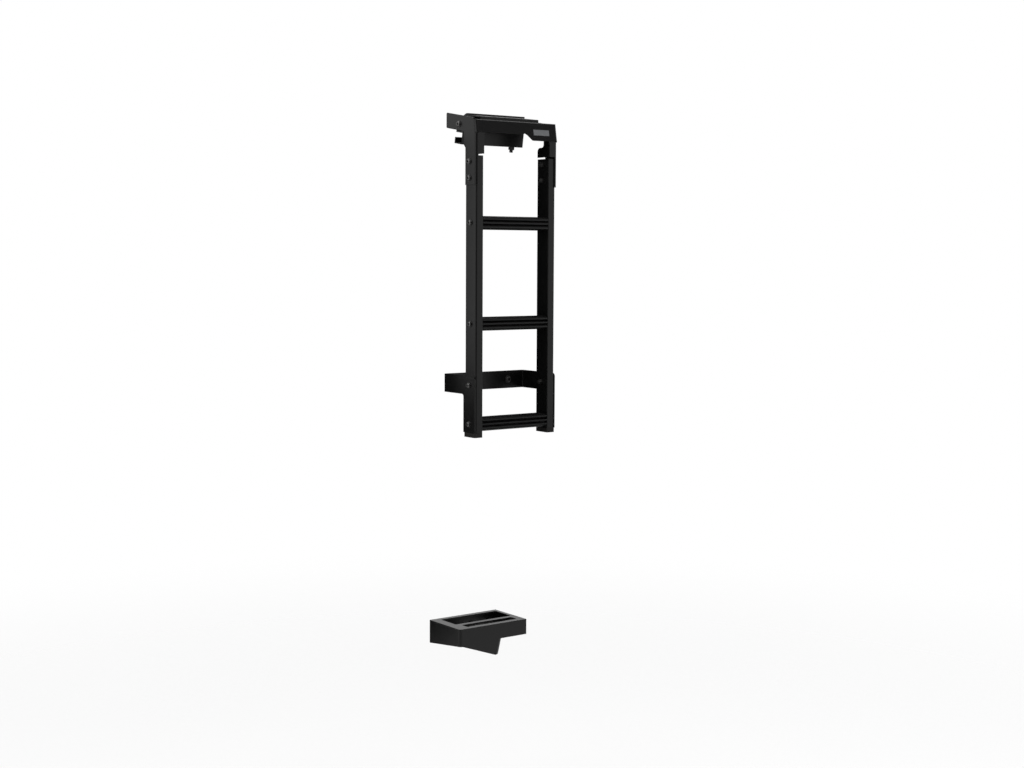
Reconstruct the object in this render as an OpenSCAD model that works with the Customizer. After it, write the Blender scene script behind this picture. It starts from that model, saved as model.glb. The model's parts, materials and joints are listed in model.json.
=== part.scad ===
// Fixed ladder with three rungs, and a separate step that mounts below it.
// The ladder stands off its mounting plane: a folded bracket screws to that plane near
// the foot, and two arms at the top carry a clamp that grips a horizontal lip.
// The step has its own bolted plate in the same plane, apart from the ladder.
// +X is right for a climber, +Y points away from them to the mounting plane, +Z is up.
// The origin is the middle of the lower bracket's face on the mounting plane.

/* [Ladder] */
// Width over the two stiles
ladder_w = 220; // [200:5:300]
// Space from the mounting plane to the front of the stiles
stand_off = 81; // [78:1:110]
// Foot of the stiles below the middle of the lower bracket
stile_drop = 106; // [100:1:130]
// Length of a stile without its foot cap
stile_h = 614; // [580:2:700]
// Depth of a stile, rear to front
stile_d = 42; // [38:1:52]
// Width of a stile seen from behind
stile_w = 19; // [17:1:26]
// Wall of the stile extrusion
stile_wall = 2.5; // [2:0.5:4]
// Radius of a stile's outer corners
stile_r = 4; // [3:0.5:6]
// Height of a foot cap below its stile
foot_h = 10; // [8:1:20]
// Diameter of the bolts through the stiles
bolt_dia = 6; // [5:1:8]

/* [Rungs] */
// Height from one rung to the next
rung_pitch = 224; // [200:2:240]
// Middle of the lowest rung below the middle of the lower bracket
lowest_rung_drop = 87; // [78:1:88]
// Height of a rung
rung_h = 30; // [26:1:36]
// Depth of a rung's tread
rung_d = 34; // [32:1:38]
// Wall of the rung extrusion
rung_wall = 2.5; // [2:0.5:3.5]
// Distance between the grip ribs on a rung
grip_pitch = 4; // [3:0.5:6]
// Height of the grip ribs
grip_h = 0.8; // [0.4:0.2:1.2]

/* [Top bracket] */
// Thickness of the folded sheet
sheet_t = 3; // [2:0.5:4]
// Top edge of the panel above the stiles
panel_rise = 79.5; // [74:0.5:110]
// Height of the panel's shallow stretch
panel_h = 29.5; // [24:0.5:34]
// Height of the panel's deep stretch, below the name plate
panel_deep_h = 41.5; // [38:0.5:48]
// Angle at which the panel leans towards the mounting plane
panel_lean = 9.5; // [0:0.5:12]
// Depth of the flange along the panel's top
panel_flange_d = 20; // [10:1:24]
// Width of the name plate
name_plate_w = 44; // [30:1:50]
// Overlap of a side plate on its stile
side_overlap = 64; // [55:1:90]
// Depth of the lower part of a side plate
side_leg_d = 41; // [36:1:44]
// Space between the mounting plane and the tips of the arms
arm_clear = 11; // [8:1:30]
// Top edge of the arms above the stiles, at the rear
arm_rise = 81; // [76:1:112]
// Depth of an arm
arm_h = 34; // [30:1:36]
// Slope of the arms, rising to the front
arm_tilt = 9; // [4:0.5:11]
// Top edge of the right arm below that of the left
right_arm_drop = 6; // [0:1:8]
// Gap between the bracket's legs and the ends of the stiles
leg_gap = 4; // [2:0.5:8]

/* [Tread and clamp] */
// Width of the top tread
tread_w = 160; // [140:5:176]
// Space between the mounting plane and the tread's rear edge
tread_back = 98; // [90:1:100]
// Slope of the tread, rising to the front
tread_tilt = 7; // [4:0.5:9]
// Height of the toe stop on the tread
toe_stop_h = 4; // [2:0.5:8]
// Length of the clamp jaws
jaw_w = 170; // [140:2:190]
// Depth of the jaws, front to rear
jaw_d = 30; // [28:1:40]
// Space between the mounting plane and the front of the jaws
jaw_clear = 2; // [2:1:12]
// Height of the lower jaw's rear wall
jaw_rear_h = 31; // [28:1:34]
// Height of the lower jaw's gripping lip
jaw_lip_h = 14; // [10:1:18]
// Distance between the two clamp bolts
clamp_bolt_pitch = 120; // [90:5:140]
// Diameter of a clamp bolt
clamp_bolt_dia = 8; // [6:1:10]

/* [Lower bracket] */
// Height of the folded bracket
bracket_h = 41; // [34:1:48]
// Diameter of the two screw holes in the web
web_hole_dia = 9; // [7:0.5:11]
// Distance between the two screw holes in the web
web_hole_pitch = 135; // [110:1:160]

/* [Bumper step] */
// Width of the step
step_w = 186; // [160:2:230]
// Depth of the step, front to rear
step_d = 121; // [110:1:150]
// Height of the step's skirt at its rear corner
step_corner_h = 40; // [38:1:50]
// Height of the step's skirt at its deepest point
step_deep_h = 71; // [60:1:90]
// Height of the step's skirt at its right end
step_shallow_h = 35; // [28:1:40]
// Height of the step's skirt at the front
step_front_h = 53; // [46:1:66]
// Thickness of the step's sheet
step_t = 3; // [2:0.5:4]
// Outer radius of the step's folds
step_bend_r = 8; // [5:1:12]
// Left end of the step, left of the ladder's middle
step_left = 150; // [120:2:180]
// Tread of the step below the middle of the lower bracket
step_drop = 544; // [500:2:620]
// Diameter of the step's mounting holes
step_hole_dia = 11; // [9:0.5:13]
// Distance between the step's mounting holes
step_hole_pitch = 50; // [40:2:56]

/* [Hidden] */
$fn = 48;

powder_black = "#1d1e20";
cap_black = "#1a1717";
plate_grey = "#55585b";
zinc_grey = "#3a3b3d";

// Gap left between pieces that only meet, and a cutter's reach past what it cuts
seam = 0.3;
past = 1;

half_w = ladder_w / 2;
outer_x = half_w + sheet_t;
rear_y = -(stand_off + stile_d);
stile_front_y = -stand_off;
panel_y = rear_y - sheet_t;
stile_top = stile_h - stile_drop;
panel_top = stile_top + panel_rise;
leg_end = stile_top + leg_gap;
return_head = leg_end + 40;
fold_ease = 0.4;
bend_r = stile_r + sheet_t - fold_ease;
bolt_line_y = rear_y + stile_d * 0.55;
bolt_hole_dia = bolt_dia + 0.6;
plate_bolt_drops = [13, 49];
// Lap of the side sheets past the front of the stiles
front_lap = 1.5;

// Points of a corner arc, given its centre, radius and two angles
function arc(c, r, a0, a1, n = 6) =
    [for (i = [0:n]) c + r * [cos(a0 + (a1 - a0) * i / n), sin(a0 + (a1 - a0) * i / n)]];

// Stands a profile drawn in Y and Z along X, centred on x = 0
module along_x(length) {
    translate([-length / 2, 0, 0]) rotate([90, 0, 90]) linear_extrude(length) children();
}

// Stands a profile drawn in X and Z along Y, from y to y + depth
module along_y(y, depth) {
    translate([0, y + depth, 0]) rotate([90, 0, 0]) linear_extrude(depth) children();
}

// Copies a left-hand piece to the right
module right_hand() {
    mirror([1, 0, 0]) children();
}

// Quarter of a round fold standing on z = 0, its centre on the Z axis
module fold(r, t, h, from_angle) {
    rotate([0, 0, from_angle])
        rotate_extrude(angle = 90) translate([r - t, 0]) square([t, h]);
}

// Hole along X through whatever stands at this place, from x0 to x1
module cross_hole(y, z, d, x0, x1) {
    translate([x0, y, z]) rotate([0, 90, 0]) cylinder(h = x1 - x0, d = d);
}

// Heights of the bolts in one stile: rungs, top bracket, lower bracket
rung_levels = [for (i = [0:2]) i * rung_pitch - lowest_rung_drop];
stile_bolts = concat(rung_levels, [for (d = plate_bolt_drops) stile_top - d], [0]);

// Outline of a stile with its outer corners rounded; x = 0 is its outer face,
// and `beyond` widens it past that face
module stile_outline(inset = 0, beyond = 0) {
    corner = max(stile_r - inset, 0.6);
    small = max(1.5 - inset, 0.4);
    outer = inset + corner - beyond;
    polygon(concat(
        arc([outer, inset + corner], corner, 180, 270),
        arc([stile_w - inset - small, inset + small], small, 270, 360, 3),
        arc([stile_w - inset - small, stile_d - inset - small], small, 0, 90, 3),
        arc([outer, stile_d - inset - corner], corner, 90, 180)));
}

module stile() {
    color(powder_black)
        difference() {
            translate([-half_w, rear_y, -stile_drop])
                linear_extrude(stile_h)
                    difference() {
                        stile_outline();
                        stile_outline(stile_wall);
                    }
            for (z = stile_bolts)
                cross_hole(bolt_line_y, z, bolt_hole_dia, -half_w - past, -half_w + stile_w + past);
        }
}

// Moulded cap: a plate under the stile and its bracket leg, and a plug for the stile's bore
module stile_foot() {
    plug_fit = 0.2;
    plug_h = 12;
    color(cap_black)
        translate([-half_w, rear_y, -stile_drop - foot_h]) {
            linear_extrude(foot_h) stile_outline(0, sheet_t);
            translate([0, 0, foot_h]) linear_extrude(plug_h) stile_outline(stile_wall + plug_fit);
        }
}

// Rear face of a rung from bottom to top: a bead between two grooves, flush with the nose
function rung_nose(flat, bead_r, groove) = concat(
    [[flat, -bead_r - 2 * groove], [flat + groove, -bead_r - groove], [flat + groove, -bead_r]],
    arc([bead_r, 0], bead_r, 240, 120, 6),
    [[flat + groove, bead_r], [flat + groove, bead_r + groove], [flat, bead_r + 2 * groove]]);

// Section of a rung: ribbed tread on top, beaded nose on the rear, y = 0 at the bead
module rung_section() {
    top = rung_h / 2 - grip_h;
    flat = 0.8;
    nose_r = 5;
    front_r = 2;
    rib_w = grip_pitch / 2;
    rib_count = floor((rung_d - nose_r - flat - front_r) / grip_pitch);
    polygon(concat(
        arc([flat + nose_r, nose_r - rung_h / 2], nose_r, 270, 180),
        rung_nose(flat, 2.2, 1.1),
        arc([flat + nose_r, top - nose_r], nose_r, 180, 90),
        [for (i = [0:rib_count - 1], p = [[0, 0], [0.3, grip_h], [rib_w, grip_h], [rib_w + 0.3, 0]])
            [flat + nose_r + 1 + i * grip_pitch, top] + p],
        arc([rung_d - front_r, top - front_r], front_r, 90, 0, 3),
        arc([rung_d - front_r, front_r - rung_h / 2], front_r, 0, -90, 3)));
}

// Bore of a rung: two chambers beside the screw port that takes the end bolts
module rung_bore() {
    port_y = bolt_line_y - rear_y;
    half_h = rung_h / 2 - rung_wall - grip_h;
    difference() {
        translate([5, -half_h]) square([rung_d - 5 - rung_wall, 2 * half_h]);
        translate([port_y - rung_wall / 2, -half_h]) square([rung_wall, 2 * half_h]);
        translate([port_y, 0]) circle(d = bolt_dia + 2 * rung_wall);
    }
    translate([port_y, 0]) circle(d = bolt_dia - 0.8);
}

module rung(level) {
    color(powder_black)
        translate([0, rear_y, rung_levels[level]])
            along_x(ladder_w - 2 * stile_w)
                difference() {
                    rung_section();
                    rung_bore();
                }
}

// The panel leans about this height, where its face meets the plane of the legs
lean_z = panel_top - 21;
panel_up = (panel_top - lean_z) / cos(panel_lean);
shallow_foot = panel_up - panel_h;
deep_foot = panel_up - panel_deep_h;
shallow_z = lean_z + shallow_foot * cos(panel_lean);
deep_z = lean_z + deep_foot * cos(panel_lean);

// Top of the side plate's upright fold, clear of the panel's lower edge there
fold_drop = bend_r * sin(panel_lean) + seam;

// Puts its children in the leaning panel's frame: y = 0 is the rear face
module leaning() {
    translate([0, panel_y, lean_z]) rotate([-panel_lean, 0, 0]) children();
}

// Y of the line where a side plate meets the leaning panel's fold, at height z
function lean_back(z) =
    panel_y + (bend_r + seam) / cos(panel_lean) + (z - lean_z) * tan(panel_lean);

// Block of the panel's outer form, or of its inside when t is the sheet's thickness
module panel_block(t) {
    x = outer_x - t;
    r = bend_r - t;
    edge_r = max(4.5 - t, 0.5);
    deep = panel_flange_d + (t > 0 ? past : 0);
    low = deep_foot - (t > 0 ? past : 0);
    intersection() {
        translate([0, 0, low])
            linear_extrude(panel_up - t - low)
                polygon(concat(
                    [[x, deep], [-x, deep]],
                    arc([-x + r, t + r], r, 180, 270),
                    arc([x - r, t + r], r, 270, 360)));
        along_x(2 * x)
            polygon(concat(
                [[t, low], [deep, low], [deep, panel_up - t]],
                arc([t + edge_r, panel_up - t - edge_r], edge_r, 90, 180)));
    }
}

// Rear panel of the top bracket, folded forward along its top and both ends,
// with a leg over each stile
module top_panel() {
    slope_x = [28, 42];
    notch_x = [13, 22];
    notch_h = 3;
    leg_in = half_w - stile_w;
    foot_r = 6;
    color(powder_black) {
        leaning()
            difference() {
                panel_block(0);
                panel_block(sheet_t);
                for (side = [-1, 1])
                    translate([side > 0 ? half_w : -outer_x - past, bend_r, deep_foot - past])
                        cube([sheet_t + past, panel_flange_d, panel_up - deep_foot + 2 * past]);
                along_y(-past, panel_flange_d + 2 * past)
                    polygon([
                        [-outer_x - past, deep_foot - past], [-outer_x - past, shallow_foot],
                        [notch_x[0], shallow_foot], [notch_x[1], shallow_foot + notch_h],
                        [slope_x[0], shallow_foot], [slope_x[1], deep_foot], [slope_x[1], deep_foot - past]]);
            }
        for (side = [-1, 1]) {
            head = side < 0 ? shallow_z : deep_z;
            outline = concat(
                [[outer_x - bend_r, leg_end], [leg_in, leg_end]],
                arc([leg_in - foot_r, head - foot_r], foot_r, 0, 90),
                [[leg_in - foot_r, lean_z], [outer_x - bend_r, lean_z]]);
            along_y(panel_y, sheet_t) polygon([for (p = outline) [side * p[0], p[1]]]);
        }
    }
}

// Height of an arm's top edge at a given place along Y
function arm_top(y, drop = 0) = stile_top + arm_rise - drop + (y - panel_y) * tan(arm_tilt);
arm_bolt_y = -60;
arm_bolt_drop = 20;
arm_bolt = [arm_bolt_y, arm_top(arm_bolt_y) - arm_bolt_drop];

// Side plate: lower part bolted to the stile, arm reaching forward above it
module top_plate(head, drop) {
    back = panel_y + bend_r;
    leg_front = panel_y + side_leg_d;
    shoulder = stile_top + 18;
    shoulder_h = 6;
    shoulder_d = stile_front_y + front_lap - leg_front;
    tip_y = -arm_clear;
    tip_r = 3;
    foot = stile_top - side_overlap;
    peak = lean_back(arm_top(back, drop));
    color(powder_black)
        difference() {
            union() {
                translate([-half_w - sheet_t / 2, 0, 0]) along_x(sheet_t)
                    polygon(concat(
                        [[back, foot], [leg_front, foot], [leg_front, shoulder]],
                        [[leg_front + shoulder_d, shoulder + shoulder_h]],
                        [[leg_front + shoulder_d, arm_top(leg_front + shoulder_d) - arm_h]],
                        arc([tip_y - tip_r, arm_top(tip_y) - arm_h + tip_r], tip_r, -81, 0, 3),
                        arc([tip_y - tip_r, arm_top(tip_y, drop) - tip_r], tip_r, 0, 99, 3),
                        [[peak, arm_top(peak, drop)], [lean_back(head), head], [back, head]]));
                translate([-outer_x + bend_r, back, foot]) fold(bend_r, sheet_t, head - foot, 180);
            }
            for (d = plate_bolt_drops)
                cross_hole(bolt_line_y, stile_top - d, bolt_hole_dia, -outer_x - past, -half_w + past);
            cross_hole(arm_bolt[0], arm_bolt[1], bolt_hole_dia, -outer_x - past, -half_w + past);
        }
}

// Inner return beside a leg: wide at the stile's end, narrow up to the panel
module top_return() {
    foot_cut = 4;
    strip_d = 19.5;
    crown = leg_end + 22;
    crown_r = 9;
    neck_r = 7;
    color(powder_black)
        translate([-half_w + stile_w - sheet_t / 2, 0, 0]) along_x(sheet_t)
            polygon(concat(
                [[rear_y, leg_end], [stile_front_y, leg_end]],
                arc([stile_front_y - crown_r, crown - crown_r], crown_r, 0, 90),
                arc([rear_y + strip_d + neck_r, crown + neck_r], neck_r, 270, 180),
                [[rear_y + strip_d, return_head], [lean_back(return_head), return_head]],
                [[rear_y, return_head - foot_cut]]));
}

// Small raised plate on the deep end of the panel, left plain
module name_plate() {
    plate_h = 13;
    plate_t = 1.2;
    right_inset = 25;
    plate_rise = 11.5;
    color(plate_grey)
        leaning()
            translate([outer_x - right_inset - name_plate_w, -plate_t, deep_foot + plate_rise])
                cube([name_plate_w, plate_t, plate_h]);
}

// Cross plate between the arms: carries the tread above and the upper jaw below
cross_back = -tread_back - 2;
cross_front = -14;
cross_drop = 16;
function cross_top(y) = arm_top(y) - cross_drop;

module clamp_bolt_holes() {
    for (side = [-1, 1])
        jaw_frame()
            translate([side * clamp_bolt_pitch / 2, clamp_bolt_in, -past])
                cylinder(h = cross_up + 2 * past, d = clamp_bolt_dia + 1);
}

module cross_plate() {
    ear_h = 14;
    ear_front = -36;
    ear_reach = 8;
    span = ladder_w - 2 * seam;
    color(powder_black)
        difference() {
            union() {
                along_x(span)
                    polygon([
                        [cross_back, cross_top(cross_back) - sheet_t],
                        [cross_front, cross_top(cross_front) - sheet_t],
                        [cross_front, cross_top(cross_front)], [cross_back, cross_top(cross_back)]]);
                for (side = [-1, 1])
                    translate([side * (span - sheet_t) / 2, 0, 0]) along_x(sheet_t)
                        polygon([
                            [cross_back, cross_top(cross_back) - 1], [cross_back, cross_top(cross_back) - ear_h],
                            [ear_front, cross_top(ear_front) - ear_h],
                            [ear_front, cross_top(ear_front) - 1]]);
            }
            clamp_bolt_holes();
            for (side = [-1, 1])
                cross_hole(arm_bolt[0], arm_bolt[1], bolt_hole_dia,
                    side * half_w - ear_reach, side * half_w + ear_reach);
        }
}

// Top of the tread, rising to the front at its own slope
tread_rise = 2.5;
tread_rear_z = arm_top(-tread_back) + tread_rise;
function tread_top(y) = tread_rear_z + (y + tread_back) * tan(tread_tilt);
stop_y = -46;

// Inverted channel standing on the cross plate, given its outline's top points
module standing_channel(top_points) {
    t = sheet_t;
    n = len(top_points) - 1;
    back = top_points[0][0];
    front = top_points[n][0];
    color(powder_black)
        along_x(tread_w)
            polygon(concat(
                [[back, cross_top(back) + seam]], top_points, [[front, cross_top(front) + seam]],
                [[front - t, cross_top(front - t) + seam], top_points[n] - [t, t]],
                [for (i = [n - 1:-1:1]) top_points[i] - [0, t]],
                [top_points[0] + [t, -t], [back + t, cross_top(back + t) + seam]]));
}

// Top tread, its rear edge slightly rounded
module tread_plate() {
    back = -tread_back;
    front = stop_y - seam;
    round_r = 2;
    standing_channel(concat(
        arc([back + round_r, tread_top(back + round_r) - round_r], round_r, 180, 97, 4),
        [[front, tread_top(front)]]));
}

// Toe stop in front of the tread: a raised edge that slopes off to the front
module tread_riser() {
    land = 6;
    run = 27;
    slope_drop = 9;
    soft = 0.4;
    top = tread_top(stop_y) + toe_stop_h;
    standing_channel([
        [stop_y, top - soft], [stop_y + 1, top], [stop_y + land, top - soft], [stop_y + run, top - slope_drop]]);
}

// Clamp: both jaws and the bolts stand square to the arms' slope. Their frame starts at
// the foot of the lower jaw's rear wall, with y = 0 on its rear face.
jaw_rear = -jaw_clear - jaw_d * cos(arm_tilt);
lower_jaw_z = arm_top(jaw_rear) - arm_h - 33;
cross_up = (cross_top(jaw_rear) - lower_jaw_z) * cos(arm_tilt);
clamp_bolt_in = jaw_d * 0.3;
throat = 11.5;

module jaw_frame() {
    translate([0, jaw_rear, lower_jaw_z]) rotate([arm_tilt, 0, 0]) children();
}

// Upper jaw: a channel under the cross plate, in front of the lower jaw's rear wall
module gutter_upper_jaw() {
    t = sheet_t;
    back = t + seam;
    front = jaw_d - 3;
    base = jaw_lip_h + throat;
    top = cross_up - t - seam;
    color(powder_black)
        difference() {
            jaw_frame() along_x(jaw_w)
                polygon([
                    [back, base], [front, base], [front, top], [front - t, top],
                    [front - t, base + t], [back + t, base + t], [back + t, top], [back, top]]);
            clamp_bolt_holes();
        }
}

// Lower jaw: a folded channel with its gripping lip in front
module gutter_lower_jaw() {
    t = sheet_t;
    color(powder_black)
        difference() {
            jaw_frame() along_x(jaw_w)
                polygon([
                    [0, 0], [jaw_d, 0], [jaw_d, jaw_lip_h], [jaw_d - t, jaw_lip_h],
                    [jaw_d - t, t], [t, t], [t, jaw_rear_h], [0, jaw_rear_h]]);
            clamp_bolt_holes();
        }
}

// Clamp bolt: head on the cross plate, nut and end of the thread below the lower jaw
module clamp_bolt() {
    nut_h = 6.5;
    tip = 6.5;
    head_h = 5;
    shank = cross_up + seam;
    across = 1.6 * clamp_bolt_dia / cos(30);
    color(zinc_grey)
        jaw_frame()
            translate([-clamp_bolt_pitch / 2, clamp_bolt_in, 0]) {
                translate([0, 0, -nut_h - tip]) cylinder(h = shank + nut_h + tip, d = clamp_bolt_dia);
                translate([0, 0, -nut_h - seam]) cylinder(h = nut_h, d = across, $fn = 6);
                translate([0, 0, shank]) cylinder(h = head_h, d = across, $fn = 6);
            }
}

module lower_bracket_web() {
    r = bend_r;
    color(powder_black)
        difference() {
            union() {
                translate([-outer_x + r, -sheet_t, -bracket_h / 2])
                    cube([2 * (outer_x - r), sheet_t, bracket_h]);
                for (side = [-1, 1])
                    translate([side * (outer_x - r), -r, -bracket_h / 2])
                        fold(r, sheet_t, bracket_h, side < 0 ? 90 : 0);
            }
            for (side = [-1, 1])
                translate([side * web_hole_pitch / 2, past, 0])
                    rotate([90, 0, 0]) cylinder(h = sheet_t + 2 * past, d = web_hole_dia);
        }
}

// Leg of the lower bracket: reaches back to the stile and runs down over it
module bracket_leg() {
    top = bracket_h / 2;
    foot = seam - stile_drop;
    front = stile_front_y + front_lap;
    corner_r = 8;
    inner_r = 6;
    color(powder_black)
        difference() {
            translate([-half_w - sheet_t / 2, 0, 0]) along_x(sheet_t)
                polygon(concat(
                    [[-bend_r, -top], [-bend_r, top]],
                    arc([rear_y + corner_r, top - corner_r], corner_r, 90, 180),
                    [[rear_y, foot], [front, foot]],
                    arc([front + inner_r, -top - inner_r], inner_r, 180, 90)));
            cross_hole(bolt_line_y, 0, bolt_hole_dia, -outer_x - past, -half_w + past);
            cross_hole(bolt_line_y, rung_levels[0], bolt_hole_dia, -outer_x - past, -half_w + past);
        }
}

step_z = -step_drop;
step_x0 = -step_left;
step_x1 = step_x0 + step_w;
// Foot of the fold that ends the deep skirt, and its lean to the right
gusset_fold_x = step_x0 + 98;
gusset_bend_r = 14;
gusset_lean = 14;
gusset_h = step_deep_h - step_shallow_h;

// Rectangle from one corner to the other with rounded corners
module window(x0, y0, x1, y1, r) {
    polygon(concat(
        arc([x0 + r, y0 + r], r, 180, 270, 3), arc([x1 - r, y0 + r], r, 270, 360, 3),
        arc([x1 - r, y1 - r], r, 0, 90, 3), arc([x0 + r, y1 - r], r, 90, 180, 3)));
}

// Tread of the step: a frame round one large opening and a slot
module step_tread() {
    side = 22;
    right_side = 9;
    front_rim = 13;
    bar_rear = step_d - 73;
    bar_front = step_d - 85;
    slot_rear = 14;
    slot_in = 8;
    color(powder_black)
        translate([0, 0, step_z - step_t])
            linear_extrude(step_t)
                difference() {
                    polygon(concat(
                        [[step_x1, -step_d], [step_x1, 0], [step_x0, 0]],
                        arc([step_x0 + step_bend_r, step_bend_r - step_d], step_bend_r, 180, 270)));
                    window(step_x0 + side, bar_rear - step_d, step_x1 - right_side, -front_rim, 3);
                    window(step_x0 + side + slot_in, slot_rear - step_d,
                        step_x1 - right_side - slot_in, bar_front - step_d, 3);
                }
}

module step_side_skirt() {
    color(powder_black)
        translate([step_x0 + step_t / 2, 0, 0]) along_x(step_t)
            polygon([
                [0, step_z - step_t], [0, step_z - step_front_h],
                [-step_d + step_bend_r, step_z - step_corner_h], [-step_d + step_bend_r, step_z - step_t]]);
}

// Rear skirt with its corner fold, deep at the left and shallow at the right
module step_rear_skirt() {
    deep_x = gusset_fold_x - seam;
    color(powder_black) {
        along_y(-step_d, step_t)
            polygon([
                [step_x0 + step_bend_r, step_z - step_t], [step_x0 + step_bend_r, step_z - step_corner_h],
                [deep_x, step_z - step_deep_h], [deep_x + gusset_h * tan(gusset_lean), step_z - step_shallow_h],
                [step_x1, step_z - step_shallow_h], [step_x1, step_z - step_t]]);
        translate([step_x0 + step_bend_r, step_bend_r - step_d, step_z - step_corner_h])
            fold(step_bend_r, step_t, step_corner_h - step_t, 180);
    }
}

// Skirt across the step's right end, inside the rear skirt
module step_right_skirt() {
    color(powder_black)
        translate([step_x1 - step_t, step_t + seam - step_d, step_z - step_shallow_h])
            cube([step_t, step_d - 2 * (step_t + seam), step_shallow_h - step_t]);
}

// Gusset: folds forward off the skirt's slanted end and runs to the back plate
module step_gusset() {
    r = gusset_bend_r;
    front_cut = 12;
    front = -step_t - seam;
    run = 2 * gusset_h;
    top = step_z - step_shallow_h - seam;
    color(powder_black)
        intersection() {
            translate([gusset_fold_x, r - step_d, step_z - step_deep_h])
                rotate([0, gusset_lean, 0]) translate([0, 0, -r]) {
                    fold(r, step_t, run, 270);
                    translate([r - step_t, 0, 0]) cube([step_t, step_d, run]);
                }
            translate([gusset_fold_x, 0, 0]) along_x(8 * r)
                polygon([
                    [front, top], [-step_d - past, top], [-step_d - past, step_z - step_deep_h],
                    [front, step_z - step_deep_h + front_cut]]);
        }
}

// Plate with the step's two mounting holes
module step_back_plate() {
    hole_inset = 20;
    color(powder_black)
        difference() {
            translate([step_x0 + step_t, -step_t, step_z - step_front_h])
                cube([step_w - step_t, step_t, step_front_h - step_t]);
            for (i = [0:1])
                translate([step_x1 - hole_inset - i * step_hole_pitch, past, step_z - step_front_h / 2])
                    rotate([90, 0, 0]) cylinder(h = step_t + 2 * past, d = step_hole_dia);
        }
}

stile();  // left_stile
right_hand() stile();  // right_stile
stile_foot();  // left_stile_foot
right_hand() stile_foot();  // right_stile_foot
rung(2);  // upper_rung
rung(1);  // middle_rung
rung(0);  // lower_rung
top_panel();
top_plate(shallow_z - fold_drop, 0);  // left_top_plate
right_hand() top_plate(deep_z - fold_drop, right_arm_drop);  // right_top_plate
top_return();  // left_top_return
right_hand() top_return();  // right_top_return
name_plate();
tread_plate();
tread_riser();
cross_plate();
gutter_upper_jaw();
gutter_lower_jaw();
clamp_bolt();  // left_clamp_bolt
right_hand() clamp_bolt();  // right_clamp_bolt
lower_bracket_web();
bracket_leg();  // left_bracket_leg
right_hand() bracket_leg();  // right_bracket_leg
step_tread();
step_side_skirt();
step_right_skirt();
step_rear_skirt();
step_gusset();
step_back_plate();
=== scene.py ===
# %% [markdown]
# # A clamp-on ladder and its separate step
#
# The ladder is made of aluminium extrusions and folded sheet under one black powder coat.
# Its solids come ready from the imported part, so this file gives them their finish, draws
# the rungs' fine section, adds the small fasteners, and sets up a plain studio. Blender
# works in metres, so a size written in millimetres is multiplied by MM.

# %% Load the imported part
import json
import math

import bmesh
import bpy
from mathutils import Matrix, Vector


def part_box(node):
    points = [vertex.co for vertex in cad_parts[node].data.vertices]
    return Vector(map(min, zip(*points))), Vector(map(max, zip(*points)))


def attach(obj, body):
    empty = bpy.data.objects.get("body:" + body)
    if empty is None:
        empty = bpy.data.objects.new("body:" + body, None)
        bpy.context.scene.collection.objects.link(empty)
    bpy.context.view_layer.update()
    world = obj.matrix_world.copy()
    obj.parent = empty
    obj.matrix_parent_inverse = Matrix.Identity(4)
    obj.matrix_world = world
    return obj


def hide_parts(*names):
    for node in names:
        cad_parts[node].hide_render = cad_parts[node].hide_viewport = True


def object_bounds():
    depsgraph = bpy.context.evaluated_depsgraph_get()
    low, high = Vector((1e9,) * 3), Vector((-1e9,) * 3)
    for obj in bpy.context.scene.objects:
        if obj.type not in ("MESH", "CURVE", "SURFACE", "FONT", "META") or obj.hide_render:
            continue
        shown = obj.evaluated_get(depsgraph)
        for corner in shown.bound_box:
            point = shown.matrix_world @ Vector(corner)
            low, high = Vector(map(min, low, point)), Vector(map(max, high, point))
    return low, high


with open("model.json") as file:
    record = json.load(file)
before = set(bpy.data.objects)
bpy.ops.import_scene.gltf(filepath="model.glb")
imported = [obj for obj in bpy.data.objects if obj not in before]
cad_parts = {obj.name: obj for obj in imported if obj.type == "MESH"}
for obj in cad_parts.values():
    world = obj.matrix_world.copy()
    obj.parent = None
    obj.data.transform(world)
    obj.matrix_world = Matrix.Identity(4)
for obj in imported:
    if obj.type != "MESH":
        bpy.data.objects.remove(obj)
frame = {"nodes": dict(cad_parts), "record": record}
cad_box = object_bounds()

MM = 0.001
scene = bpy.context.scene
nodes = frame["nodes"]
print("packed nodes:", len(nodes))

# %% [markdown]
# ## Camera
#
# The part is seen from its left and from behind a climber, a little above the lower
# bracket. The camera turns about three axes: round to the right, down, and a slight lean.
# Writing those three angles keeps the view easy to read, and a long lens keeps the
# uprights nearly parallel.

# %% Camera
CAMERA_PLACE = Vector((-2.1475, -2.9968, 0.2916))
CAMERA_TURN = math.radians(36.644)
CAMERA_DIP = math.radians(4.649)
CAMERA_LEAN = math.radians(0.272)
CAMERA_LENS_MM = 56.04
SENSOR_WIDTH_MM = 36

camera = bpy.data.objects.new("camera", bpy.data.cameras.new("camera"))
camera.data.lens = CAMERA_LENS_MM
camera.data.sensor_width = SENSOR_WIDTH_MM
turn = Matrix.Rotation(-CAMERA_TURN, 4, "Z")
dip = Matrix.Rotation(math.pi / 2 - CAMERA_DIP, 4, "X")
lean = Matrix.Rotation(CAMERA_LEAN, 4, "Z")
camera.matrix_world = Matrix.Translation(CAMERA_PLACE) @ turn @ dip @ lean
scene.collection.objects.link(camera)
scene.camera = camera
print("camera lens:", CAMERA_LENS_MM, "mm")

# %% [markdown]
# ## Shader sums as Python expressions
#
# A material is a small network of nodes. Wiring each Math node by hand hides the idea, so
# one class wraps a node's output and lets Python's own operators add the Math nodes.
# `1 - mask` and `0.25 + 0.07 * cloud` then read as they would on paper. Every other kind
# of node comes from the method `node` of the network it belongs to.

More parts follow.
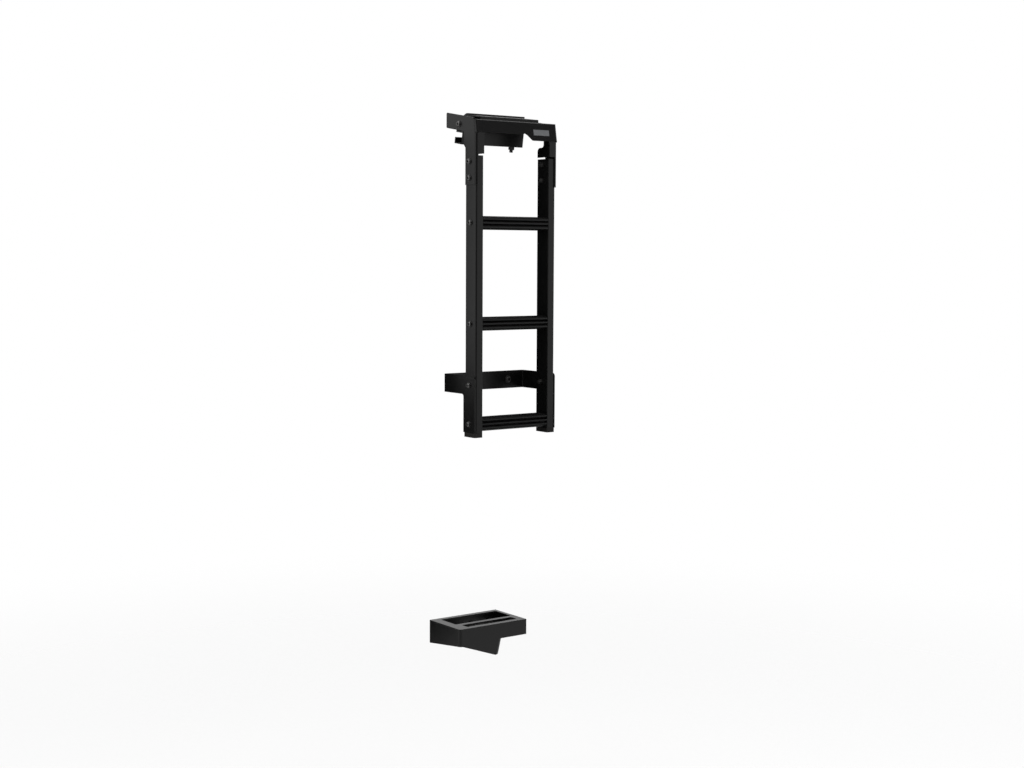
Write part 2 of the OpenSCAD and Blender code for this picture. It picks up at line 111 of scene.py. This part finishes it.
# %% A value that can be added, subtracted and multiplied
class Value:
    """One node output that takes part in sums."""

    def __init__(self, network, socket):
        self.network = network
        self.socket = socket

    def math(self, operation, first, second):
        return self.network.node("Math", {"operation": operation}, {0: first, 1: second})

    def __add__(self, other):
        return self.math("ADD", self, other)

    def __sub__(self, other):
        return self.math("SUBTRACT", self, other)

    def __rsub__(self, other):
        return self.math("SUBTRACT", other, self)

    def __mul__(self, other):
        return self.math("MULTIPLY", self, other)

    __radd__ = __add__
    __rmul__ = __mul__


# %% A network of nodes, in a material or in the world
class Network:
    """A node network, with helpers that add nodes to it."""

    def __init__(self, owner):
        owner.use_nodes = True
        self.tree = owner.node_tree

    def node(self, kind, settings=None, inputs=None, output=0):
        """Adds one node: its settings come first, then what its sockets hold."""
        made = self.tree.nodes.new("ShaderNode" + kind)
        for name, value in (settings or {}).items():
            setattr(made, name, value)
        for socket, value in (inputs or {}).items():
            self.feed(made.inputs[socket], value)
        return Value(self, made.outputs[output])

    def feed(self, socket, value):
        """Links a value's node to a socket, or writes a constant there."""
        if isinstance(value, Value):
            self.tree.links.new(value.socket, socket)
        else:
            socket.default_value = value

    def place(self):
        """The point being shaded, in metres in its object's own frame."""
        return self.node("TexCoord", output=3)

    def noise(self, size, detail=2.0, roughness=0.5):
        """A cloudy value from 0 to 1 whose lumps are about `size` metres across."""
        inputs = {"Vector": self.place(), "Scale": 1 / size}
        inputs["Detail"] = detail
        inputs["Roughness"] = roughness
        return self.node("TexNoise", inputs=inputs)

    def between(self, value, low, high, start=0.0, end=1.0):
        """Maps low..high to start..end and holds the ends."""
        inputs = {0: value, 1: low, 2: high, 3: start, 4: end}
        return self.node("MapRange", {"interpolation_type": "SMOOTHSTEP"}, inputs)

    def blend(self, share, first, second):
        """Mixes two colours by a share from 0 to 1."""
        inputs = {0: share, 6: first, 7: second}
        return self.node("Mix", {"data_type": "RGBA"}, inputs, output=2)

    def painted_shade_mask(self, reach):
        """A mask for painted shade: 1 on an open surface, and near 0 down in a hole or a
        corner.
        """
        shade = self.node("AmbientOcclusion", {"samples": 8}, {"Distance": reach}, output=1)
        return self.between(shade, low=0.35, high=0.95)

    def bump(self, height, distance, normal=None):
        """Tilts the shading as if the surface rose by `distance` where `height` is 1."""
        inputs = {"Height": height, "Distance": distance}
        if normal is not None:
            inputs["Normal"] = normal
        return self.node("Bump", inputs=inputs)


# %% A finish is one material with a main shader
class Finish(Network):
    """A material on Blender's main shader."""

    def __init__(self, name, constants):
        self.material = bpy.data.materials.new(name)
        super().__init__(self.material)
        self.shader = self.tree.nodes["Principled BSDF"]
        for socket, value in constants.items():
            self.shader.inputs[socket].default_value = value

    def set(self, **varying):
        """Feeds what changes over the surface into the main shader."""
        for name, value in varying.items():
            self.feed(self.shader.inputs[name.replace("_", " ")], value)


def grey(level, warm=0.0):
    """A colour near grey; warm above 0 leans it to red and below 0 to blue."""
    return (level * (1 + warm), level, level * (1 - warm), 1.0)


# %% [markdown]
# ## Powder coat
#
# Powder coat is baked plastic: satin, with a fine orange peel, and slightly rounded over
# every edge. It is close to black, so nearly all that shows on it is what it mirrors.
# The peel is a bump of two noises, and a Bevel node turns the shading normal near an
# edge, which gives the soft line that real folded sheet shows. Both change the shading
# only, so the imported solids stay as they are.

# %% Powder coat
COAT_COLOUR = 0.0018
COAT_DUSTY = 0.0032
COAT_ROUGHNESS = 0.25
CLOUD_SIZE = 90 * MM
PEEL_SIZE = 1.6 * MM
PEEL_DEPTH = 0.05 * MM
GRAIN_SIZE = 0.5 * MM
EDGE_RADIUS = 0.8 * MM


def powder_coat(name="powder_coat"):
    finish = Finish(name, {"Specular IOR Level": 0.26})
    cloud = finish.noise(CLOUD_SIZE, detail=3.0)
    peel = finish.noise(PEEL_SIZE)
    grain = finish.noise(GRAIN_SIZE)
    rounded = finish.node("Bevel", {"samples": 6}, {"Radius": EDGE_RADIUS})
    colour = finish.blend(cloud, grey(COAT_COLOUR), grey(COAT_DUSTY))
    finish.set(
        Base_Color=colour,
        Roughness=COAT_ROUGHNESS + 0.07 * cloud + 0.05 * grain,
        Normal=finish.bump(peel + 0.4 * grain, PEEL_DEPTH, normal=rounded),
    )
    return finish.material


# %% [markdown]
# ## Moulded caps, name plate and fasteners
#
# The stile caps are injection-moulded, so they are duller and a little warmer than the
# coat. The name plate is bare satin metal. The bolts through the sides are stainless, and
# their colour is painted darker in their sockets and corners as painted shade; the other
# fasteners are blackened steel. Each has one fine noise that shifts its colour, its
# roughness and its bump together, so that no surface is a single flat tone.

# %% Moulded plastic
def moulded_plastic(name="foot_cap"):
    finish = Finish(name, {"Specular IOR Level": 0.28})
    pebbles = finish.noise(size=0.8 * MM)
    finish.set(
        Base_Color=finish.blend(pebbles, grey(0.005, 0.15), grey(0.008, 0.12)),
        Roughness=0.5 + 0.12 * pebbles,
        Normal=finish.bump(pebbles, distance=0.03 * MM),
    )
    return finish.material


# %% Satin name plate
def satin_plate(name="name_plate"):
    finish = Finish(name, {"Metallic": 0.6})
    mottle = finish.noise(size=2.0 * MM, detail=3.0)
    finish.set(
        Base_Color=finish.blend(mottle, grey(0.14, -0.03), grey(0.2, -0.03)),
        Roughness=0.38 + 0.14 * mottle,
    )
    return finish.material


# %% Stainless steel
# How far the painted shade in sockets and corners reaches.
PAINTED_SHADE_REACH = 2 * MM


def stainless(name="stainless"):
    finish = Finish(name, {"Metallic": 1.0})
    mottle = finish.noise(size=1.2 * MM, detail=3.0)
    finish.set(
        # Painted shade: the base colour darkens where the occlusion mask finds a socket or
        # corner.
        Base_Color=finish.blend(finish.painted_shade_mask(PAINTED_SHADE_REACH), grey(0.01), grey(0.1, 0.01)),
        Roughness=0.2 + 0.14 * mottle,
        Normal=finish.bump(mottle, distance=0.02 * MM),
    )
    return finish.material


# %% Blackened steel
def blackened_steel(name="bolt"):
    finish = Finish(name, {"Specular IOR Level": 0.6})
    mottle = finish.noise(size=2.5 * MM, detail=3.0)
    finish.set(
        Base_Color=finish.blend(mottle, grey(0.012), grey(0.03, 0.04)),
        Metallic=0.35 + 0.3 * mottle,
        Roughness=0.34 + 0.2 * mottle,
        Normal=finish.bump(mottle, distance=0.03 * MM),
    )
    return finish.material


# %% [markdown]
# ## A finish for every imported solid
#
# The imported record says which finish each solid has. Reading that list in a loop is
# shorter than naming 29 solids, and it can't leave one out.

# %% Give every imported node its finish
finishes = {
    "powder_coat": powder_coat(),
    "foot_cap": moulded_plastic(),
    "name_plate": satin_plate(),
    "bolt": blackened_steel(),
}
for row in frame["record"]["subparts"]:
    node = nodes[row["node"]]
    node.data.materials.clear()
    node.data.materials.append(finishes[row["material_slot"]])
print("finishes:", ", ".join(finishes))

# %% [markdown]
# ## Rungs
#
# A rung is one aluminium extrusion, the same section all along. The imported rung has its
# size and its ribs. The real nose is finer: two round cheeks with a small bead between
# them, and each round catches one line of light. Cutting those rounds into a block by
# hand would take many loops. A section drawn in numbers and pulled along X gives them in
# one go, as the real die does, so each rung is drawn again in the space of the packed
# one. The section is in millimetres, and y counts from its rear plane.

# %% Arcs for a section, in millimetres
def arc(centre, radii, start, end, steps=8):
    """Points from angle `start` to `end`, in degrees, on an ellipse about `centre`."""
    points = []
    for k in range(steps + 1):
        angle = math.radians(start + (end - start) * k / steps)
        y = centre[0] + radii[0] * math.cos(angle)
        z = centre[1] + radii[1] * math.sin(angle)
        points.append((y, z))
    return points


# %% Section of a rung
# The cheeks stand this far behind the bead's nose, and reach this far in.
CHEEK_SET_BACK = 0.4
CHEEK_DEPTH = 7.0
# The bead's half height and depth, and half the height kept clear for it.
BEAD_HALF = 2.8
BEAD_DEPTH = 1.8
BEAD_ROOM = 3.6
# The grip ribs on top: their spacing and height, the slope of their flanks, and the
# space between the cheek and the first of them.
RIB_PITCH = 4.0
RIB_TALL = 0.8
RIB_SLOPE = 0.3
RIB_START = 1.5
# The radius of the two front corners.
CORNER = 2.0


def rung_section(depth, height):
    """The outline: up the nose, over the ribbed top, and down the front."""
    low = -height / 2
    top = height / 2 - RIB_TALL
    low_cheek = (-low - BEAD_ROOM) / 2
    top_cheek = (top - BEAD_ROOM) / 2
    cheek_middle = CHEEK_SET_BACK + CHEEK_DEPTH
    low_centre = (cheek_middle, low + low_cheek)
    top_centre = (cheek_middle, top - top_cheek)
    outline = arc(low_centre, (CHEEK_DEPTH, low_cheek), start=270, end=100, steps=12)
    outline += arc((BEAD_DEPTH, 0), (BEAD_DEPTH, BEAD_HALF), start=255, end=105)
    outline += arc(top_centre, (CHEEK_DEPTH, top_cheek), start=260, end=90, steps=12)
    rib = cheek_middle + RIB_START
    while rib + RIB_PITCH / 2 < depth - CORNER:
        rib_end = rib + RIB_PITCH / 2
        outline += [(rib, top), (rib + RIB_SLOPE, top + RIB_TALL)]
        outline += [(rib_end - RIB_SLOPE, top + RIB_TALL), (rib_end, top)]
        rib += RIB_PITCH
    front = depth - CORNER
    outline += arc((front, top - CORNER), (CORNER, CORNER), start=90, end=0, steps=3)
    return outline + arc((front, low + CORNER), (CORNER, CORNER), start=0, end=-90, steps=3)


# %% Pull the section along each packed rung
SHARP_ANGLE = math.radians(35)


def draw_rung(node):
    """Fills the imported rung's box with the fine section, and takes its place."""
    low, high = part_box(node)
    middle = (low.z + high.z) / 2
    outline = rung_section((high.y - low.y) / MM, (high.z - low.z) / MM)
    shape = bmesh.new()
    rings = []
    for x in (low.x, high.x):
        points = [(x, low.y + y * MM, middle + z * MM) for y, z in outline]
        rings.append([shape.verts.new(point) for point in points])
    for i in range(len(outline)):
        j = (i + 1) % len(outline)
        shape.faces.new((rings[0][i], rings[0][j], rings[1][j], rings[1][i]))
    ends = [shape.faces.new(rings[0]), shape.faces.new(rings[1])]
    bmesh.ops.triangulate(shape, faces=ends)
    bmesh.ops.recalc_face_normals(shape, faces=shape.faces)
    mesh = bpy.data.meshes.new(node + "_extrusion")
    shape.to_mesh(mesh)
    shape.free()
    mesh.shade_smooth()
    mesh.set_sharp_from_angle(angle=SHARP_ANGLE)
    mesh.materials.append(finishes["powder_coat"])
    piece = bpy.data.objects.new(mesh.name, mesh)
    scene.collection.objects.link(piece)
    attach(piece, "root")
    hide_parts(node)
    return piece


for node in ("upper_rung", "middle_rung", "lower_rung"):
    piece = draw_rung(node)
    print(piece.name, "has", len(piece.data.polygons), "faces")

# %% [markdown]
# ## Fasteners
#
# A bolt head, a washer and a nut are all work for a lathe: rings about one axis, each at
# its own height. Letting a ring be six-sided as well gives the hexagon socket and the nut
# from the same recipe. All the heads of one kind are joined into a single piece, which is
# how many small like things stay light. Their profiles are in millimetres.

# %% One ring of a turned part
ROUND = 0
HEXAGON = 6
SEGMENTS = 48


def ring_reach(size, sides, angle):
    """Distance from the axis. A hexagon's `size` is half its width over the flats."""
    if sides == ROUND:
        return size
    step = 2 * math.pi / sides
    return size / math.cos(angle % step - step / 2)


# %% A turned part is a stack of rings
def add_turned(mesh, rings, place, direction):
    """Adds one closed part whose rings (height, size, sides) rise along `direction`."""
    stand = Vector(direction).to_track_quat("Z", "Y").to_matrix().to_4x4()
    move = Matrix.Translation(place) @ stand
    loops = []
    for height, size, sides in rings:
        loop = []
        for i in range(SEGMENTS):
            angle = 2 * math.pi * i / SEGMENTS
            reach = ring_reach(size * MM, sides, angle)
            point = Vector((reach * math.cos(angle), reach * math.sin(angle), height * MM))
            loop.append(mesh.verts.new(move @ point))
        loops.append(loop)
    for lower, upper in zip(loops, loops[1:]):
        for i in range(SEGMENTS):
            j = (i + 1) % SEGMENTS
            mesh.faces.new((lower[i], lower[j], upper[j], upper[i]))
    mesh.faces.new(list(reversed(loops[0])))
    mesh.faces.new(loops[-1])


# %% Many turned parts become one piece
def turned_piece(name, rings, seats, finish):
    """Joins a turned part at every seat (place, direction) and lets it ride the part."""
    shape = bmesh.new()
    for place, direction in seats:
        add_turned(shape, rings, place, direction)
    mesh = bpy.data.meshes.new(name)
    shape.to_mesh(mesh)
    shape.free()
    mesh.shade_smooth()
    mesh.set_sharp_from_angle(angle=SHARP_ANGLE)
    mesh.materials.append(finish)
    piece = bpy.data.objects.new(name, mesh)
    scene.collection.objects.link(piece)
    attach(piece, "root")
    print(name, "has", len(seats), "parts and", len(mesh.polygons), "faces")


# %% Profiles of a head and a nut
# Chamfers and wall widths of the profiles below.
WASHER_EDGE = 0.2
HEAD_EDGE = 0.5
SOCKET_RIM = 0.8
SOCKET_CHAMFER = 0.3
NUT_FOOT = 0.4
NUT_EDGE = 0.3
NUT_CROWN = 0.8
TIP_CHAMFER = 0.5


def dome(foot_height, foot, top_height, top, steps=7):
    """Rings of a domed head, from its widest ring in to its crown."""
    rings = []
    for k in range(steps + 1):
        lift = math.pi / 2 * k / steps
        height = foot_height + (top_height - foot_height) * math.sin(lift)
        rings.append((height, top + (foot - top) * math.cos(lift), ROUND))
    return rings


def button_head(head, tall, socket, washer, washer_tall):
    """A washer, and on it a button head with a hexagon socket; widths are diameters."""
    rings = [(0, washer / 2, ROUND), (washer_tall - WASHER_EDGE, washer / 2, ROUND)]
    rings += [(washer_tall, washer / 2 - WASHER_EDGE, ROUND), (washer_tall, head / 2, ROUND)]
    crown = washer_tall + tall
    rings += dome(washer_tall + HEAD_EDGE, head / 2, crown, socket / 2 + SOCKET_RIM)
    rings += [(crown - SOCKET_CHAMFER, socket / 2, HEXAGON)]
    socket_floor = washer_tall + tall * 0.4
    return rings + [(socket_floor, socket / 2, HEXAGON)]


def lock_nut(flats, tall, bore, washer, washer_tall, tip):
    """A washer, a chamfered hexagon nut and the bolt's tip standing out of it."""
    half = flats / 2
    shoulder = washer_tall + tall * 0.7
    collar = washer_tall + tall * 0.8
    crown = washer_tall + tall
    end = crown + tip
    rings = [(0, washer / 2, ROUND), (washer_tall, washer / 2, ROUND)]
    rings += [(washer_tall, half - NUT_EDGE, HEXAGON), (washer_tall + NUT_FOOT, half, HEXAGON)]
    rings += [(shoulder, half, HEXAGON), (collar, half, ROUND)]
    rings += [(crown, half - NUT_CROWN, ROUND), (crown, bore / 2, ROUND)]
    return rings + [(end - TIP_CHAMFER, bore / 2, ROUND), (end, bore / 2 - TIP_CHAMFER, ROUND)]


# %% Where the bolts sit
# Bolts through a stile share one upright line, so only their heights differ.
BOLT_LINE = -99.9 * MM
RUNG_BOLTS = (361 * MM, 137 * MM)
PLATE_BOLTS = (495 * MM, 459 * MM)
LEG_BOLTS = (0.0, -87 * MM)
# The bolt through an arm: its place along Y, its height, and where its nut's washer sits.
ARM_BOLT = (-60 * MM, 579.45 * MM)
ARM_INNER = 106.7 * MM
SHEET = 3 * MM

stile_face = -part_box("left_stile")[0][0]
stile_inner = -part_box("left_stile")[1][0]
plate_face = -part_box("left_top_plate")[0][0]
print("bolted faces at", round(stile_face / MM, 1), "and", round(plate_face / MM, 1), "mm")

heads = []
nuts = []
for side in (-1, 1):
    out = (side, 0, 0)
    back = (-side, 0, 0)
    heads += [((side * stile_face, BOLT_LINE, z), out) for z in RUNG_BOLTS]
    heads += [((side * plate_face, BOLT_LINE, z), out) for z in PLATE_BOLTS + LEG_BOLTS]
    heads += [((side * plate_face, *ARM_BOLT), out)]
    nuts += [((side * stile_inner, BOLT_LINE, z), back) for z in PLATE_BOLTS + LEG_BOLTS[:1]]
    nuts += [((side * ARM_INNER, *ARM_BOLT), back)]

# %% Side bolts and their nuts
bright = stainless()
side_head = button_head(head=12.5, tall=3.6, socket=5, washer=15, washer_tall=1.2)
side_nut = lock_nut(flats=10, tall=6, bore=6, washer=12, washer_tall=1.2, tip=1.5)
turned_piece("side_bolts", side_head, heads, bright)
turned_piece("side_nuts", side_nut, nuts, finishes["bolt"])

# %% Screws that hold the lower bracket and the step
WEB_SCREW = 67.5 * MM
STEP_SCREWS = (-34 * MM, 16 * MM)
STEP_SCREW_HEIGHT = -570.5 * MM

web_seats = [((side * WEB_SCREW, -SHEET, 0.0), (0, -1, 0)) for side in (-1, 1)]
web_head = button_head(head=14, tall=4.4, socket=5, washer=17, washer_tall=1.6)
turned_piece("web_screws", web_head, web_seats, finishes["bolt"])

step_seats = [((x, -SHEET, STEP_SCREW_HEIGHT), (0, -1, 0)) for x in STEP_SCREWS]
step_head = button_head(head=17.5, tall=5.5, socket=6, washer=20, washer_tall=2.0)
turned_piece("step_screws", step_head, step_seats, finishes["bolt"])

# %% [markdown]
# ## Studio
#
# A pale floor lies under a white surround, and three lamps light the part. They are
# large, because a large lamp gives soft edges to light and shadow. A black coat shows its
# form by what it mirrors, so five dark cards stand round the part, as in a studio for
# glossy things. Only mirrored rays meet them: they throw no shadow, and the camera looks
# through them.

# %% Kinds of ray that show a background
LOOKS = ("Is Camera Ray", "Is Glossy Ray", "Is Transmission Ray")


def is_seen(network):
    """1 where a thing is looked at, mirrored or seen through glass, and 0 for its light."""
    straight, mirrored, through = [network.node("LightPath", output=kind) for kind in LOOKS]
    return straight + mirrored + through


# %% Floor
# It lies below the part, is solid near the middle, and fades into the white surround.
FLOOR_DROP = 0.42
FLOOR_REACH = 7.0
FLOOR_SOLID = 0.8
FLOOR_GONE = 3.6
FLOOR_GLOW = 0.6

floor_level = cad_box[0][2] - FLOOR_DROP
floor_mesh = bpy.data.meshes.new("floor")
corners = [(-1, -1), (1, -1), (1, 1), (-1, 1)]
points = [(x * FLOOR_REACH, y * FLOOR_REACH, floor_level) for x, y in corners]
floor_mesh.from_pydata(points, [], [(0, 1, 2, 3)])
floor = bpy.data.objects.new("floor", floor_mesh)
scene.collection.objects.link(floor)
floor_finish = Finish("floor", {
    "Base Color": grey(0.5),
    "Roughness": 0.9,
    "Specular IOR Level": 0.1,
    "Emission Strength": 1.0,
})
length = {"operation": "LENGTH"}
reach = floor_finish.node("VectorMath", length, {0: floor_finish.place()}, output=1)
floor_finish.set(
    Alpha=1 - floor_finish.between(reach, FLOOR_SOLID, FLOOR_GONE),
    Emission_Color=floor_finish.blend(is_seen(floor_finish), grey(0.0), grey(FLOOR_GLOW)),
)
floor_mesh.materials.append(floor_finish.material)
print("floor level:", round(floor_level, 3))

# %% Surround: white where it is seen or mirrored, and a dim fill for everything else
FILL_LEVEL = 0.35
world = bpy.data.worlds.new("surround")
scene.world = world
surround = Network(world)
background = surround.tree.nodes["Background"]
background.inputs["Color"].default_value = grey(1.0)
level = surround.between(is_seen(surround), 0.0, 1.0, start=FILL_LEVEL, end=1.0)
surround.feed(background.inputs["Strength"], level)
print("fill level:", FILL_LEVEL)


# %% Soft lamps
LAMP_TARGET = Vector((0.0, -0.1, 0.0))


def soft_lamp(name, place, size, power):
    """A rectangular lamp at `place`, aimed at the part; `power` is in watts."""
    lamp = bpy.data.lights.new(name, "AREA")
    lamp.shape = "RECTANGLE"
    lamp.size, lamp.size_y = size
    lamp.energy = power
    holder = bpy.data.objects.new(name, lamp)
    scene.collection.objects.link(holder)
    aim = (LAMP_TARGET - Vector(place)).to_track_quat("-Z", "Y")
    holder.matrix_world = Matrix.Translation(place) @ aim.to_matrix().to_4x4()
    print(name, "gives", power, "W")


soft_lamp("left_lamp", place=(-2.6, -0.6, 1.7), size=(2.0, 2.0), power=22)
soft_lamp("rear_lamp", place=(0.8, -2.6, 2.6), size=(2.4, 2.0), power=45)
soft_lamp("top_lamp", place=(-0.4, -0.4, 3.4), size=(2.4, 2.4), power=40)

# %% Dark cards
def dark_card(name, corner, across, along):
    """A black sheet seen only in mirrors: from `corner`, two edges `across` and `along`."""
    first = Vector(corner)
    second = first + Vector(across)
    points = [first, second, second + Vector(along), first + Vector(along)]
    mesh = bpy.data.meshes.new(name)
    mesh.from_pydata(points, [], [(0, 1, 2, 3)])
    mesh.materials.append(card_finish)
    card = bpy.data.objects.new(name, mesh)
    scene.collection.objects.link(card)
    card.visible_camera = False
    card.visible_diffuse = False
    card.visible_shadow = False


card_finish = Finish("card", {"Base Color": grey(0.01), "Specular IOR Level": 0.0}).material
# Behind the rungs, over the part, beside the step, under the ladder, and by the camera.
CARDS = {
    "wall_card": ((-0.2, 0.07, -0.42), (0.95, 0, 0), (0, 0, 0.98)),
    "top_card": ((-0.5, -3.0, 1.35), (3.0, 0, 0), (0, 2.7, 0)),
    "low_card": ((-0.2, 0.5, -0.98), (-0.6, 0, 0.36), (0, 0, 0.74)),
    "under_card": ((-0.25, -1.2, -0.38), (1.1, 0, 0), (0, 1.0, 0)),
    "back_card": ((-3.5, -1.1, -1.0), (2.76, -2.5, 0), (0, 0, 3.0)),
}
for name, (corner, across, along) in CARDS.items():
    dark_card(name, corner, across, along)
print("dark cards:", ", ".join(CARDS))

# %% [markdown]
# ## Colours
#
# The Standard view transform shows a colour as it is written.

# %% Colours as they are written
scene.view_settings.view_transform = "Standard"
print("view transform:", scene.view_settings.view_transform)
